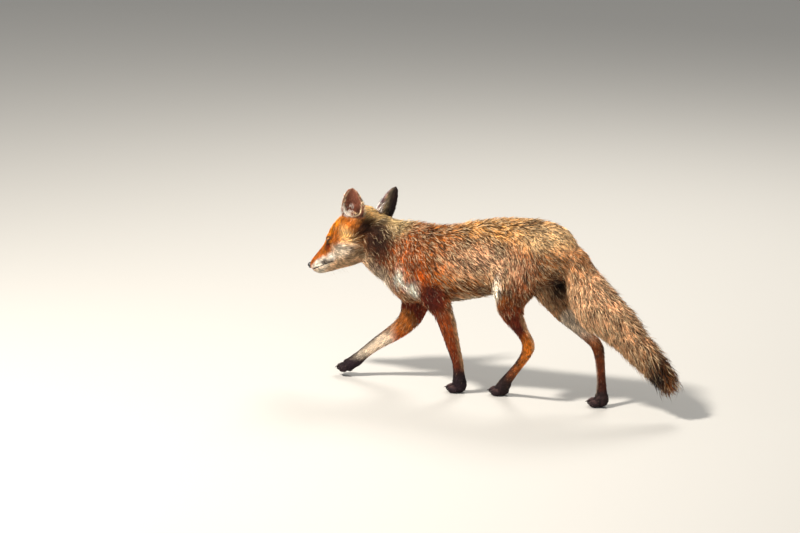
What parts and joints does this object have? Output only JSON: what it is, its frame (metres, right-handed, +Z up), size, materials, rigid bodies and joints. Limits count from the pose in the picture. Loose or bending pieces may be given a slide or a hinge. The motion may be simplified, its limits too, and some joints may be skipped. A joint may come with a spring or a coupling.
{
  "type": "red fox figure",
  "caption": "Life-size still model of a lean red fox in mid-stride, head low and level, one forepaw raised, bushy tail hanging behind.",
  "frame": {"origin": "on the floor under the middle of the fox's bounding box", "axes": "-X is the way the fox faces, -Y its left side, +Z up"},
  "size_m": [0.8442, 0.1388, 0.4155],
  "materials": {
    "coat_rust": "short rust-orange fur",
    "coat_straw": "grizzled straw-coloured fur with dark streaks",
    "coat_cream": "short cream fur",
    "coat_dark": "short black-brown fur",
    "ear": "thin skin with fine dark hair outside",
    "nose": "damp pebbled black skin",
    "eye": "glossy amber with a slit pupil",
    "claw": "smooth dark horn"
  },
  "bodies": {
    "root": {"ear_left": "ear", "ear_right": "ear", "eye_left": "eye", "eye_right": "eye", "head": "coat_rust", "left_fore_claw_1": "claw", "left_fore_claw_2": "claw", "left_fore_claw_3": "claw", "left_fore_claw_4": "claw", "left_fore_foot": "coat_dark", "left_fore_forearm": "coat_rust", "left_hind_claw_1": "claw", "left_hind_claw_2": "claw", "left_hind_claw_3": "claw", "left_hind_claw_4": "claw", "left_hind_foot": "coat_dark", "left_hind_shank": "coat_rust", "left_hind_thigh": "coat_rust", "lower_jaw": "coat_cream", "neck": "coat_straw", "nose": "nose", "right_fore_claw_1": "claw", "right_fore_claw_2": "claw", "right_fore_claw_3": "claw", "right_fore_claw_4": "claw", "right_fore_foot": "coat_dark", "right_fore_forearm": "coat_rust", "right_hind_claw_1": "claw", "right_hind_claw_2": "claw", "right_hind_claw_3": "claw", "right_hind_claw_4": "claw", "right_hind_foot": "coat_dark", "right_hind_shank": "coat_rust", "right_hind_thigh": "coat_rust", "tail_middle": "coat_straw", "tail_root": "coat_straw", "tail_tip": "coat_straw", "trunk": "coat_rust"}
  },
  "joints": []
}
